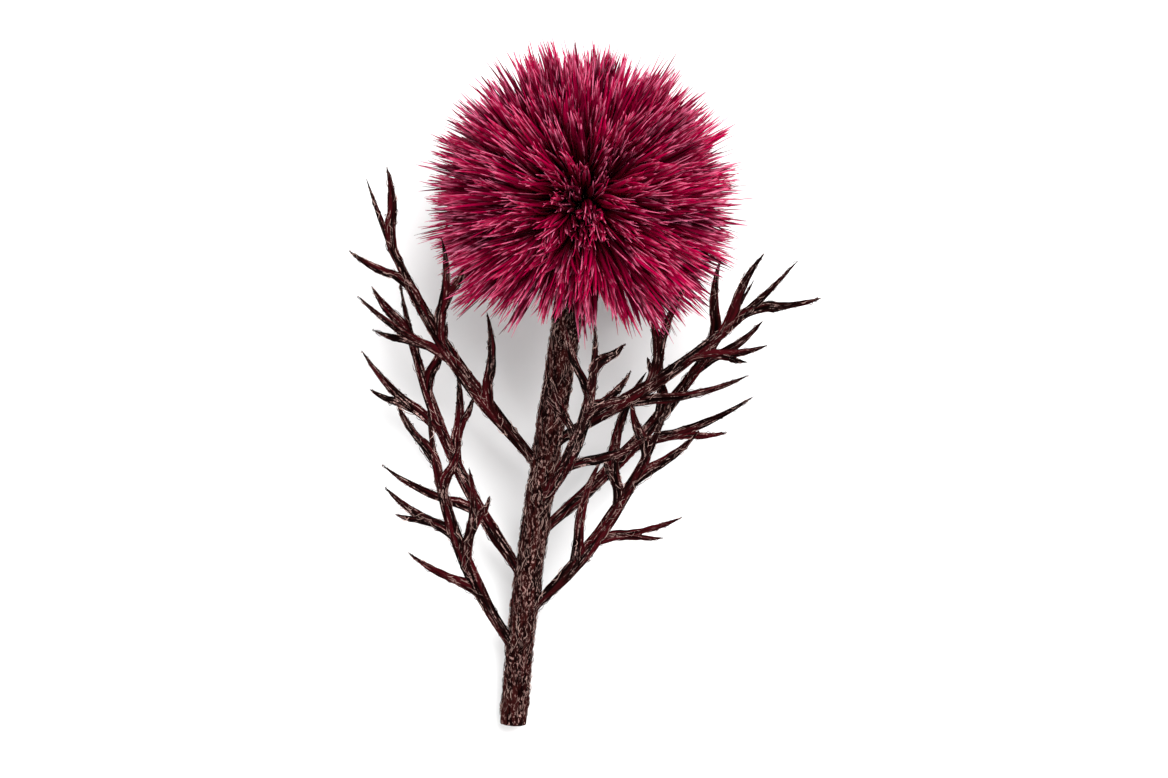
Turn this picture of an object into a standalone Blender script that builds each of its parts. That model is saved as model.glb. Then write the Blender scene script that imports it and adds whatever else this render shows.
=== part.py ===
"""A dried globe thistle: one flower head on its cut stem, lying on a table.

The stem swells into the round receptacle that carries the florets, and the florets stand all over it
in tufts, like a brush. Forked leaves grow from the stem, and a few small bracts curl back at the neck.
The flower rests on the lowest tufts and on the cut end of its stem.

Metres, +Z up. The table is z = 0, and the origin is under the middle of the flower. The stem runs along
Y, with the head at +Y.
"""

from math import acos, cos, pi, radians, sin, sqrt, tan

import bmesh
import bpy
from mathutils import Matrix, Vector

# The head.
HEAD_RADIUS = 0.030
HEAD_CENTRE = Vector((-0.0006, 0.0357, 0.0274))
HEAD_LEAN = radians(17)  # how far the head looks up from the table
HEAD_TURN = radians(6)  # how far it looks towards +X
RECEPTACLE_RADIUS = 0.0080
GAP = 0.0003  # left between pieces that touch

# The tufts of florets, spread over the receptacle from the top of the head to past its widest place.
TUFTS = 42
TUFT_REACH = radians(119)
TUFT_SPREAD = radians(17)  # half the angle that a tuft may fill where no neighbour trims it
TUFT_SIDES = 10
SHAFT_SHARE = 0.80  # where the shafts of a tuft end and its points begin, as a share of the head's radius
POINT_VARIATION = (1.0, 0.94, 0.98, 0.90, 0.97)

# The stem, from its cut end to the receptacle.
CUT_END = Vector((-0.0141, -0.0650, 0.0027))
CUT_HEADING = Vector((0.06, 1.0, 0.17))
STEM_STIFFNESS = 0.034
NECK_RADIUS = 0.0030
STEM_RADIUS = 0.0026
STEM_STEPS = 12
STEM_SHARE = 0.88  # how much of the way to the head's centre those steps cover
GLOBE_STEPS = 8
GLOBE_TOP = 0.0004  # the radius of the flat that closes the receptacle at its top

# The leaves: how far below the head's centre each is attached, on which side of the stem (0 is up from
# the table and 90 is +X), its length, how far it opens from the stem, and how far its blade is twisted.
LEAVES = (
    (0.045, 80, 0.059, 53, 16),
    (0.050, -74, 0.064, 51, -24),
    (0.057, 26, 0.052, 42, 50),
    (0.063, 95, 0.062, 41, 8),
    (0.072, -93, 0.060, 42, -8),
    (0.079, 62, 0.054, 38, 32),
    (0.087, -56, 0.054, 40, -36),
)
RIB_HALF_WIDTH = 0.00160
LEAF_FLATNESS = 0.42
LEAF_TURN = radians(24)  # how far a leaf curves back up towards the head
LEAF_ARCH = 0.07  # how far its tip bends out of its plane, as a share of its length
LOBES_AT = (0.22, 0.37, 0.51, 0.66, 0.80)
LOBE_SHIFT = 0.025  # how far a lobe may stand from its place in that list
LOBE_REACH = (0.437, 0.152)  # a lobe's length at the leaf's foot and at its tip, as shares of the leaf's
LOBE_SPLAY = radians(46)
LOBE_CURL = radians(30)
LOBE_VARIATION = 0.2  # in reach and in splay
LOBE_HALF_WIDTH = 0.00115
FORKED_LOBES = (1, 2)
FORK_REACH = 0.40  # a fork's length, splay and width, as shares of its lobe's
FORK_SPLAY = 0.50
FORK_WIDTH = 0.75
BASE_SHARE = 0.70  # the width where a blade starts, as a share of its full width
TIP_SHARE = 0.12  # the width at its tip, as a share of its full width

# The bracts that curl back at the neck.
BRACTS = 5
BRACT_LENGTH = 0.0115
BRACT_HALF_WIDTH = 0.00055
BRACT_DROP = 0.0015  # how far below the receptacle they stand
BRACT_OPENING = radians(62)
BRACT_CURL = radians(92)


def clear_scene():
    for obj in list(bpy.data.objects):
        bpy.data.objects.remove(obj, do_unlink=True)


def new_collection(name):
    made = bpy.data.collections.new(name)
    bpy.context.scene.collection.children.link(made)
    return made


def new_material(name, colour, roughness):
    made = bpy.data.materials.new(name)
    made.use_nodes = True
    shader = made.node_tree.nodes["Principled BSDF"]
    shader.inputs["Base Color"].default_value = (*colour, 1.0)
    shader.inputs["Roughness"].default_value = roughness
    shader.inputs["Metallic"].default_value = 0.0
    return made


def head_axis():
    """The way the head looks: up the stem and out through the middle of its florets."""
    level = Vector((sin(HEAD_TURN), cos(HEAD_TURN), 0.0))
    return (level * cos(HEAD_LEAN) + Vector((0.0, 0.0, sin(HEAD_LEAN)))).normalized()


def stem_point(t):
    """The stem's middle line, a cubic from the cut end (t = 0) to the head's centre (t = 1)."""
    first = CUT_END + CUT_HEADING.normalized() * STEM_STIFFNESS
    second = HEAD_CENTRE - head_axis() * STEM_STIFFNESS
    u = 1.0 - t
    return u**3 * CUT_END + 3 * u * u * t * first + 3 * u * t * t * second + t**3 * HEAD_CENTRE


def stem_radius(t):
    """The stem's radius: nearly even, and thicker only as it nears the head."""
    return STEM_RADIUS + (NECK_RADIUS - STEM_RADIUS) * t**3


def stem_at(below_head):
    """The point this far down the stem from the head's centre, the way the stem runs there, its radius."""
    steps = 400
    walked = 0.0
    here = stem_point(1.0)
    for i in range(steps - 1, -1, -1):
        lower = stem_point(i / steps)
        walked += (here - lower).length
        if walked >= below_head:
            return lower, (here - lower).normalized(), stem_radius(i / steps)
        here = lower
    raise ValueError("the stem is shorter than that")


def across(axis):
    """Two directions across an axis: up from the table, and to the +X side of it."""
    up = (Vector((0.0, 0.0, 1.0)) - axis * axis.z).normalized()
    return up, axis.cross(up).normalized()


def new_tube(name, points, radii, sides):
    """A tapered tube along the points, as a closed mesh object."""
    curve = bpy.data.curves.new(name, "CURVE")
    curve.dimensions = "3D"
    curve.bevel_depth = 1.0
    curve.bevel_resolution = sides // 2 - 2
    curve.use_fill_caps = True
    spline = curve.splines.new("POLY")
    spline.points.add(len(points) - 1)
    for spot, point, radius in zip(spline.points, points, radii):
        spot.co = (*point, 1.0)
        spot.radius = radius
    drawn = bpy.data.objects.new(name, curve)
    bpy.context.scene.collection.objects.link(drawn)
    bpy.context.view_layer.update()
    graph = bpy.context.evaluated_depsgraph_get()
    mesh = bpy.data.meshes.new_from_object(drawn.evaluated_get(graph))
    bpy.data.objects.remove(drawn, do_unlink=True)
    return close_mesh(mesh)


def close_mesh(mesh):
    """Welds a tube's loose caps to its sides."""
    cage = bmesh.new()
    cage.from_mesh(mesh)
    bmesh.ops.remove_doubles(cage, verts=cage.verts, dist=1e-6)
    bmesh.ops.recalc_face_normals(cage, faces=cage.faces)
    cage.to_mesh(mesh)
    cage.free()
    return mesh


def place(name, mesh, where, surface, folder):
    obj = bpy.data.objects.new(name, mesh)
    obj.matrix_world = where
    mesh.materials.clear()
    mesh.materials.append(surface)
    mesh.shade_smooth()
    mesh.set_sharp_from_angle(angle=radians(35))
    folder.objects.link(obj)
    return obj


def make_stem(surface, folder):
    """The stem with the receptacle it grows into, as one tube that swells into a globe at its top."""
    axis = head_axis()
    meeting = sqrt(RECEPTACLE_RADIUS**2 - NECK_RADIUS**2)  # the globe begins this far below its centre
    neck, _, _ = stem_at(meeting)
    points, radii = [], []
    for i in range(STEM_STEPS):
        t = STEM_SHARE * i / (STEM_STEPS - 1)
        points.append(stem_point(t))
        radii.append(stem_radius(t))
    points.append(neck)
    radii.append(NECK_RADIUS)
    start = acos(meeting / RECEPTACLE_RADIUS)
    for i in range(1, GLOBE_STEPS + 1):
        angle = start + (pi - start) * i / GLOBE_STEPS
        points.append(HEAD_CENTRE - axis * RECEPTACLE_RADIUS * cos(angle))
        radii.append(max(RECEPTACLE_RADIUS * sin(angle), GLOBE_TOP))
    mesh = new_tube("stem", points, radii, 14)
    return place("stem", mesh, Matrix.Identity(4), surface, folder)


def tuft_directions():
    """Directions spread evenly over the head by the golden angle, from its top down to TUFT_REACH."""
    axis = head_axis()
    up, side = across(axis)
    golden = pi * (3.0 - sqrt(5.0))
    for i in range(TUFTS):
        height = 1.0 - (1.0 - cos(TUFT_REACH)) * (i + 0.5) / TUFTS
        ring = sqrt(1.0 - height * height)
        yield axis * height + (up * cos(golden * i) + side * sin(golden * i)) * ring


def trim(cage, point, normal):
    """Cuts away what lies beyond a plane, and closes the cut."""
    cut = bmesh.ops.bisect_plane(
        cage,
        geom=[*cage.verts, *cage.edges, *cage.faces],
        plane_co=point,
        plane_no=normal,
        clear_outer=True,
    )["geom_cut"]
    rim = [e for e in cut if isinstance(e, bmesh.types.BMEdge) and e.is_boundary]
    bmesh.ops.holes_fill(cage, edges=rim)


def make_tuft(number, directions, surface, folder):
    """A sheaf that widens from the receptacle outwards, trimmed halfway to each of its neighbours. It ends
    in points, and it is trimmed again where it stands on the table."""
    direction = directions[number]
    base = RECEPTACLE_RADIUS + GAP
    top = HEAD_RADIUS * SHAFT_SHARE
    cage = bmesh.new()
    bmesh.ops.create_cone(
        cage,
        cap_ends=True,
        segments=TUFT_SIDES,
        radius1=base * tan(TUFT_SPREAD),
        radius2=top * tan(TUFT_SPREAD),
        depth=top - base,
        matrix=direction.to_track_quat("Z", "X").to_matrix().to_4x4()
        @ Matrix.Translation((0.0, 0.0, (top + base) / 2)),
    )
    for other in directions[:number] + directions[number + 1:]:
        across_gap = (other - direction).normalized()
        trim(cage, -across_gap * GAP / 2, across_gap)
    crown = max(cage.faces, key=lambda face: face.calc_center_median().dot(direction))
    wedges = bmesh.ops.poke(cage, faces=[crown])["faces"]
    crown_edges = list(dict.fromkeys(edge for wedge in wedges for edge in wedge.edges))
    bmesh.ops.subdivide_edges(cage, edges=crown_edges, cuts=1, use_grid_fill=True)
    bmesh.ops.triangulate(cage, faces=cage.faces)
    lids = [f for f in cage.faces if min(v.co.dot(direction) for v in f.verts) > top - 1e-5]
    for vert in dict.fromkeys(v for f in lids for v in f.verts):
        vert.co = vert.co.normalized() * top
    for k, tip in enumerate(bmesh.ops.poke(cage, faces=lids)["verts"]):
        length = HEAD_RADIUS * POINT_VARIATION[(k + number) % len(POINT_VARIATION)]
        tip.co = tip.co.normalized() * length
    bmesh.ops.translate(cage, verts=cage.verts, vec=HEAD_CENTRE)
    trim(cage, Vector((0.0, 0.0, 0.0)), Vector((0.0, 0.0, -1.0)))
    bmesh.ops.recalc_face_normals(cage, faces=cage.faces)
    mesh = bpy.data.meshes.new(f"floret_tuft_{number + 1:02d}")
    cage.to_mesh(mesh)
    cage.free()
    return place(mesh.name, mesh, Matrix.Identity(4), surface, folder)


def arc(start, heading, length, turn, arch, steps):
    """Points along an arc in a leaf's plane, which turns by `turn` and bends out of it by `arch`."""
    points = [start]
    stride = length / steps
    for i in range(steps):
        angle = heading + turn * (i + 0.5) / steps
        t = (i + 1) / steps
        lift = arch * length * (t * t - (t - 1 / steps) ** 2)
        points.append(points[-1] + Vector((cos(angle) * stride, sin(angle) * stride, lift)))
    return points


def blade_radii(count, half_width):
    """Half widths along a blade: narrow where it starts, fullest at a third, and drawn out to a spine."""
    radii = []
    for i in range(count):
        t = i / (count - 1)
        swell = BASE_SHARE + (1.0 - BASE_SHARE) * sin(min(1.0, t / 0.35) * pi / 2)
        radii.append(half_width * swell * (1.0 - (1.0 - TIP_SHARE) * t**2.2))
    return radii


def wobble(number, k):
    """A fixed variation between -1 and 1, for lobe k of a leaf."""
    return sin(2.4 * number + 4.1 * k + 0.7)


def leaf_branches(number, length):
    """(points, half width) of the leaf's rib, of its lobes and of their forks, in the leaf's own plane: +X
    is the way it starts, and it curves towards +Y."""
    steps = 8
    rib = arc(Vector((0.0, 0.0, 0.0)), 0.0, length, LEAF_TURN, LEAF_ARCH, steps)
    lobes, forks = [], []
    for k, level in enumerate(LOBES_AT):
        side = 1 if (k + number) % 2 else -1
        share = level + LOBE_SHIFT * wobble(number, k)
        low = int(share * steps)
        start = rib[low].lerp(rib[low + 1], share * steps - low)
        heading = LEAF_TURN * share + side * LOBE_SPLAY * (1.0 + LOBE_VARIATION * wobble(number, k + 1))
        reach = length * (LOBE_REACH[0] * (1.0 - share) + LOBE_REACH[1] * share)
        reach *= 1.0 + LOBE_VARIATION * wobble(number, k + 2)
        lift = LEAF_ARCH * side * wobble(number, k + 3)
        lobe = arc(start, heading, reach, -side * LOBE_CURL, lift, 6)
        lobes.append((lobe, LOBE_HALF_WIDTH))
        if k in FORKED_LOBES:
            heading += side * LOBE_SPLAY * FORK_SPLAY
            fork = arc(lobe[2], heading, reach * FORK_REACH, -side * LOBE_CURL, 0.0, 4)
            forks.append((fork, LOBE_HALF_WIDTH * FORK_WIDTH))
    return (rib, RIB_HALF_WIDTH), lobes, forks


def joined_mesh(name, branches):
    """One mesh of several separate tubes."""
    cage = bmesh.new()
    for points, half_width in branches:
        flat = [Vector((p.x, p.y, p.z / LEAF_FLATNESS)) for p in points]
        cage.from_mesh(new_tube(name, flat, blade_radii(len(flat), half_width), 6))
    mesh = bpy.data.meshes.new(name)
    cage.to_mesh(mesh)
    cage.free()
    return mesh


def make_leaf(number, below_head, around, length, opening, twist, surface, folder, cutters):
    """One forked leaf: its rib with its lobes and their forks joined on, flattened across its plane."""
    at, axis, radius = stem_at(below_head)
    up, side = across(axis)
    out = up * cos(radians(around)) + side * sin(radians(around))
    ahead = (axis * cos(radians(opening)) + out * sin(radians(opening))).normalized()
    inward = (axis - ahead * axis.dot(ahead)).normalized()
    basis = Matrix((ahead, inward, ahead.cross(inward))).transposed().to_4x4()
    clear = radius + GAP + RIB_HALF_WIDTH * BASE_SHARE * cos(radians(opening))
    where = (
        Matrix.Translation(at + out * clear)
        @ basis
        @ Matrix.Rotation(radians(twist), 4, "X")
        @ Matrix.Diagonal((1.0, 1.0, LEAF_FLATNESS, 1.0))
    )
    name = f"leaf_{number + 1}"
    rib, lobes, forks = leaf_branches(number, length)
    leaf = place(name, joined_mesh(name, [rib]), where, surface, folder)
    for kind, branches in (("lobes", lobes), ("forks", forks)):
        part = place(f"{name}_{kind}", joined_mesh(f"{name}_{kind}", branches), where, surface, cutters)
        part.hide_render = True
        part.display_type = "WIRE"
        joint = leaf.modifiers.new(kind, "BOOLEAN")
        joint.operation = "UNION"
        joint.object = part
    return leaf


def make_bract(number, surface, folder):
    """A small bract that stands out from the neck and curls back down along the stem."""
    axis = head_axis()
    up, side = across(axis)
    around = 2 * pi * (number + 0.25) / BRACTS
    out = up * cos(around) + side * sin(around)
    clear = NECK_RADIUS + GAP + BRACT_HALF_WIDTH
    start = HEAD_CENTRE - axis * (RECEPTACLE_RADIUS + BRACT_DROP) + out * clear
    steps = 7
    points = [start]
    for i in range(steps):
        angle = BRACT_OPENING - BRACT_CURL * (i + 0.5) / steps
        points.append(points[-1] + (out * sin(angle) - axis * cos(angle)) * (BRACT_LENGTH / steps))
    mesh = new_tube(f"neck_bract_{number + 1}", points, blade_radii(len(points), BRACT_HALF_WIDTH), 6)
    return place(mesh.name, mesh, Matrix.Identity(4), surface, folder)


def main():
    clear_scene()
    flower = new_collection("dried_thistle")
    cutters = new_collection("joined_lobes")
    bark = new_material("brown_stem", (0.075, 0.031, 0.027), 0.85)
    blade = new_material("brown_leaf", (0.085, 0.025, 0.024), 0.75)
    petal = new_material("crimson_floret", (0.22, 0.010, 0.045), 0.5)
    make_stem(bark, flower)
    directions = list(tuft_directions())
    for number in range(TUFTS):
        make_tuft(number, directions, petal, flower)
    for number, leaf in enumerate(LEAVES):
        make_leaf(number, *leaf, blade, flower, cutters)
    for number in range(BRACTS):
        make_bract(number, blade, flower)


main()
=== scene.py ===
"""A dried globe thistle, dyed crimson, lying on a pale table.

The script follows the flower as it grew: its stem with the wool on it, the florets that make the head, the
forked leaves, and the small bracts at the neck. The table, the light and the camera come last. Metres, +Z
up, with the table at z = 0 and the stem running along Y towards the head.
"""

import bpy
import numpy as np
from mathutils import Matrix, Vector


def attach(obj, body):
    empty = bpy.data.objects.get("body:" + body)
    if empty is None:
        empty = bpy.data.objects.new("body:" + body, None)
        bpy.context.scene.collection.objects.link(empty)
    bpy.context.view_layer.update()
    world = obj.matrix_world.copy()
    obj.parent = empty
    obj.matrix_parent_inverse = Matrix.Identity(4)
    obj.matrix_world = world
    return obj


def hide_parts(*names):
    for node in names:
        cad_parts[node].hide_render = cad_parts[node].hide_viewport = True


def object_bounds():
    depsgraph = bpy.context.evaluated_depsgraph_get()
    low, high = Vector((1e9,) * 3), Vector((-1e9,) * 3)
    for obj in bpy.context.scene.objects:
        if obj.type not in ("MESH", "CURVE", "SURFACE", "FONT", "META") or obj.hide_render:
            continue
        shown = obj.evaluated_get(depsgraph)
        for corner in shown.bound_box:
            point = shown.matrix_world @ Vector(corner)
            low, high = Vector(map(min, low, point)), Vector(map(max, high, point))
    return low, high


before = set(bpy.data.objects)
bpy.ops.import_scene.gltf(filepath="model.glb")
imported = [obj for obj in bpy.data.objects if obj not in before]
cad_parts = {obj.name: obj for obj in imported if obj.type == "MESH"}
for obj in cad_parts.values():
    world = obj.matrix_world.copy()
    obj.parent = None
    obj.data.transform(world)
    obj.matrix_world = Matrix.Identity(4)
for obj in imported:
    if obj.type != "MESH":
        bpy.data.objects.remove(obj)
cad_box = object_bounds()


# ---- The stem ------------------------------------------------------------------------------------------
# One stalk, cut with a knife at its lower end, which swells at its top into the round receptacle that the
# florets stand on. It is ribbed lengthwise, and dry, and a matted wool of short fibres covers it.

HEAD_CENTRE = np.array((-0.0006, 0.0357, 0.0274))
HEAD_LEAN = np.radians(17)  # how far the head looks up from the table
HEAD_TURN = np.radians(6)  # how far it looks towards +X
HEAD_AXIS = np.array(
    (np.sin(HEAD_TURN) * np.cos(HEAD_LEAN), np.cos(HEAD_TURN) * np.cos(HEAD_LEAN), np.sin(HEAD_LEAN))
)
RECEPTACLE_RADIUS = 0.0080
CUT_END = np.array((-0.0141, -0.0650, 0.0027))
CUT_HEADING = np.array((0.06, 1.0, 0.17))
STEM_STIFFNESS = 0.034
NECK_RADIUS = 0.0030
STEM_RADIUS = 0.0026
STEM_ROWS = 260
STEM_COLUMNS = 96
GLOBE_ROWS = 26
STALK_SHARE = 0.925  # how much of the middle line is stalk, before the globe begins
STEM_RIBS = 11
RIB_WINDING = 0.9  # how far the ribs wind round the stem from end to end, in radians
RIB_DEPTH = 0.055  # as a share of the stem's radius
STEM_LUMPS = 0.035  # the uneven swellings, as a share of the radius
# The rings of the cut face, as shares of the stem's radius, and how far in each lies, as shares of how far
# the pith has sunk.
CUT_RINGS = np.array((0.02, 0.25, 0.5, 0.62, 0.72, 0.9, 0.985))
CUT_SINK = np.array((1.0, 1.0, 0.9, 0.55, 0.1, -0.1, -0.25))
PITH_DEPTH = 0.0005
WOOLLY_ROWS = slice(8, 258)  # the stalk's rings, without the cut face's and the globe's
TABLE_GAP = 0.00005  # left under the stem
STEM_DARK = (0.003, 0.0003, 0.0003, 1.0)
STEM_BROWN = (0.026, 0.0040, 0.0036, 1.0)
STEM_WOOL = (0.40, 0.235, 0.210, 1.0)
PITH = (0.42, 0.27, 0.21, 1.0)
PITH_EDGE = (0.33, 0.19, 0.15, 1.0)
STEM_FIBRES = 2000
FIBRE_LENGTH = (0.0007, 0.0024)
FIBRE_LEAN = np.radians(17)  # how far the fibres stray from the stem's own direction
FIBRE_BEND = 0.14  # how far their middles stray sideways, as a share of their length
FIBRE_HALF_WIDTH = 0.000060
FIBRE_TAPER = np.array((0.7, 1.0, 1.0, 0.8, 0.3))
FIBRE_LIFT = 0.00016
FIBRE_LOWEST = 0.00002  # how near to the table a fibre may lie
WOOL_DARK = (0.016, 0.0025, 0.0025, 1.0)
WOOL_DYED = (0.060, 0.010, 0.010, 1.0)
WOOL_PALE = (0.58, 0.38, 0.33, 1.0)


def unit(vectors):
    """Each vector divided by its own length."""
    return vectors / np.linalg.norm(vectors, axis=-1, keepdims=True)


def stem_point(t):
    """The stem's middle line: a cubic Bezier curve from the cut end, t = 0, to the head's centre, t = 1.
    Its two inner points lie STEM_STIFFNESS along the cut's heading, and as far back along the head's
    axis."""
    t = np.asarray(t, float)[..., None]
    first = CUT_END + unit(CUT_HEADING) * STEM_STIFFNESS
    second = HEAD_CENTRE - HEAD_AXIS * STEM_STIFFNESS
    u = 1.0 - t
    return u**3 * CUT_END + 3 * u * u * t * first + 3 * u * t * t * second + t**3 * HEAD_CENTRE


def across(axis):
    """Two unit vectors at right angles to each axis: the one nearest to straight up, and the one to its
    side, their cross product."""
    rise = np.array((0.0, 0.0, 1.0))
    up = unit(rise - axis * axis[..., 2:3])
    return up, unit(np.cross(axis, up))


def ripple(draw, waves, *turns):
    """A smooth uneven value between about -1 and 1: the mean of some sine waves, each of a random phase and
    of a random whole number of turns, up to the one given, along each of the inputs, which run 0 to 1."""
    total = 0.0
    for _ in range(waves):
        phase = draw.uniform(0, 2 * np.pi)
        angle = phase
        for position, most in turns:
            angle = angle + 2 * np.pi * draw.integers(-most, most + 1) * position
        total = total + np.sin(angle)
    return total / np.sqrt(waves)


def closed_tubes(name, rings):
    """One mesh of closed tubes. rings is (tubes, rings, corners, 3): ring r's corner c is joined to the
    next corner and to ring r + 1, and a flat face closes each end. The corners run round the way the tube
    goes as the fingers of a right hand do round its thumb."""
    tubes, rows, columns = rings.shape[:3]
    index = np.arange(tubes * rows * columns).reshape(tubes, rows, columns)
    beside = np.roll(index, -1, axis=2)
    walls = np.stack([index[:, :-1], beside[:, :-1], beside[:, 1:], index[:, 1:]], axis=-1).reshape(-1)
    ends = np.concatenate([index[:, 0, ::-1].reshape(-1), index[:, -1].reshape(-1)])
    wall_count = tubes * (rows - 1) * columns
    mesh = bpy.data.meshes.new(name)
    mesh.vertices.add(index.size)
    mesh.vertices.foreach_set("co", rings.reshape(-1).astype(np.float32))
    mesh.loops.add(len(walls) + len(ends))
    mesh.loops.foreach_set("vertex_index", np.concatenate([walls, ends]).astype(np.int32))
    mesh.polygons.add(wall_count + 2 * tubes)
    starts = np.concatenate([np.arange(wall_count) * 4, len(walls) + np.arange(2 * tubes) * columns])
    mesh.polygons.foreach_set("loop_start", starts.astype(np.int32))
    mesh.update(calc_edges=True)
    mesh.shade_smooth()
    return mesh


def note(mesh, name, values):
    """Writes one number for each of the mesh's points, for its material to read."""
    layer = mesh.attributes.new(name, "FLOAT", "POINT")
    layer.data.foreach_set("value", np.ascontiguousarray(values, np.float32).reshape(-1))


def add_piece(name, mesh, material, slot, *nodes):
    """Puts a finished mesh in the scene, fixed to the flower, in place of the CAD nodes named."""
    mesh.materials.append(material)
    piece = bpy.data.objects.new(name, mesh)
    bpy.context.scene.collection.objects.link(piece)
    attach(piece, "root")
    if nodes:
        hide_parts(*nodes)
    return piece


class Paint:
    """A new material, and short ways to add and join its nodes."""

    def __init__(self, name):
        self.material = bpy.data.materials.new(name)
        self.material.use_nodes = True
        self.tree = self.material.node_tree
        self.shader = self.tree.nodes["Principled BSDF"]

    def add(self, kind, settings=None, **inputs):
        """A node of that kind. An input is another node's output, or a value; its name's _ are spaces."""
        node = self.tree.nodes.new(kind)
        for key, value in (settings or {}).items():
            setattr(node, key, value)
        for key, value in inputs.items():
            self.plug(node, key.replace("_", " "), value)
        return node

    def plug(self, node, socket, value):
        """Links another node's output to the socket, or sets the socket's own value."""
        if isinstance(value, bpy.types.NodeSocket):
            self.tree.links.new(value, node.inputs[socket])
        else:
            node.inputs[socket].default_value = value

    def read(self, name):
        """The number that note() wrote under that name."""
        return self.add("ShaderNodeAttribute", {"attribute_name": name}).outputs["Fac"]

    def place(self, scale=(1.0, 1.0, 1.0)):
        """Object coordinates, stretched by scale."""
        where = self.add("ShaderNodeTexCoord").outputs["Object"]
        return self.add("ShaderNodeMapping", Vector=where, Scale=scale).outputs["Vector"]

    def noise(self, vector, scale, detail=3.0, roughness=0.55):
        """An uneven value, mostly between 0.3 and 0.7, that changes scale times a metre."""
        return self.add(
            "ShaderNodeTexNoise", Vector=vector, Scale=scale, Detail=detail, Roughness=roughness
        ).outputs["Fac"]

    def ramp(self, value, *stops):
        """A colour for each value, read between (position, colour) stops."""
        node = self.add("ShaderNodeValToRGB", Fac=value)
        elements = node.color_ramp.elements
        for _ in range(len(stops) - 2):
            elements.new(0.5)
        for element, (position, colour) in zip(elements, stops):
            element.position = position
            element.color = colour
        return node.outputs["Color"]

    def range(self, value, low, high, to_low=0.0, to_high=1.0):
        """value from low to high, carried over to to_low to to_high, and held there beyond them."""
        limits = {"From_Min": low, "From_Max": high, "To_Min": to_low, "To_Max": to_high}
        return self.add("ShaderNodeMapRange", Value=value, **limits).outputs["Result"]

    def sum(self, operation, first, second):
        """A Math node's result, such as MULTIPLY or MAXIMUM."""
        node = self.add("ShaderNodeMath", {"operation": operation})
        self.plug(node, 0, first)
        self.plug(node, 1, second)
        return node.outputs[0]

    def mix(self, amount, first, second, blend="MIX"):
        """first turning into second as amount goes from 0 to 1, or blended as a picture layer would be."""
        node = self.add("ShaderNodeMix", {"data_type": "RGBA", "blend_type": blend})
        self.plug(node, 0, amount)
        self.plug(node, 6, first)
        self.plug(node, 7, second)
        return node.outputs[2]

    def relief(self, height, distance, strength=1.0):
        """Raises and lowers the surface's shading by height, distance metres deep."""
        bump = self.add("ShaderNodeBump", Height=height, Distance=distance, Strength=strength)
        self.plug(self.shader, "Normal", bump.outputs["Normal"])


def paint_stem():
    """Dark dry bark under a mat of pale wool, in flecks drawn out along the stem, over fine ribs. The cut
    face has pale pith inside a darker ring."""
    paint = Paint("woolly_stem")
    flecks = paint.noise(paint.place((1.0, 0.45, 1.0)), 2700.0, 3.0, 0.6)
    matting = paint.noise(paint.place((1.0, 0.12, 1.0)), 900.0, 3.0)
    patches = paint.noise(paint.place(), 130.0, 2.0)
    bark = paint.ramp(matting, (0.46, STEM_DARK), (0.60, STEM_BROWN))
    thick = paint.range(patches, 0.35, 0.62, 0.15, 0.80)
    wool = paint.sum("MULTIPLY", paint.range(flecks, 0.56, 0.61), thick)
    skin = paint.mix(wool, bark, STEM_WOOL)
    radius = paint.read("cut_radius")
    rings = paint.ramp(radius, (0.0, PITH), (0.55, PITH_EDGE), (0.72, STEM_BROWN), (1.0, STEM_DARK))
    grain = paint.noise(paint.place(), 2600.0, 3.0)
    pith = paint.mix(paint.range(grain, 0.45, 0.75, 0.0, 0.6), rings, STEM_BROWN)
    paint.plug(paint.shader, "Base Color", paint.mix(paint.read("cut_face"), skin, pith))
    paint.plug(paint.shader, "Roughness", paint.range(flecks, 0.3, 0.7, 0.95, 0.75))
    paint.plug(paint.shader, "Specular IOR Level", 0.015)
    paint.relief(paint.mix(0.5, flecks, matting), 0.00035, 0.9)
    return paint.material


def paint_wool():
    """Dull pale wool, browner in places, as it took the dye unevenly."""
    paint = Paint("pale_wool")
    shade = paint.ramp(paint.read("shade"), (0.45, WOOL_DARK), (1.0, WOOL_PALE))
    dyed = paint.range(paint.noise(paint.place(), 160.0, 2.0), 0.45, 0.65, 0.0, 0.7)
    paint.plug(paint.shader, "Base Color", paint.mix(dyed, shade, WOOL_DYED))
    paint.plug(paint.shader, "Roughness", 0.95)
    paint.plug(paint.shader, "Specular IOR Level", 0.05)
    return paint.material


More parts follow.
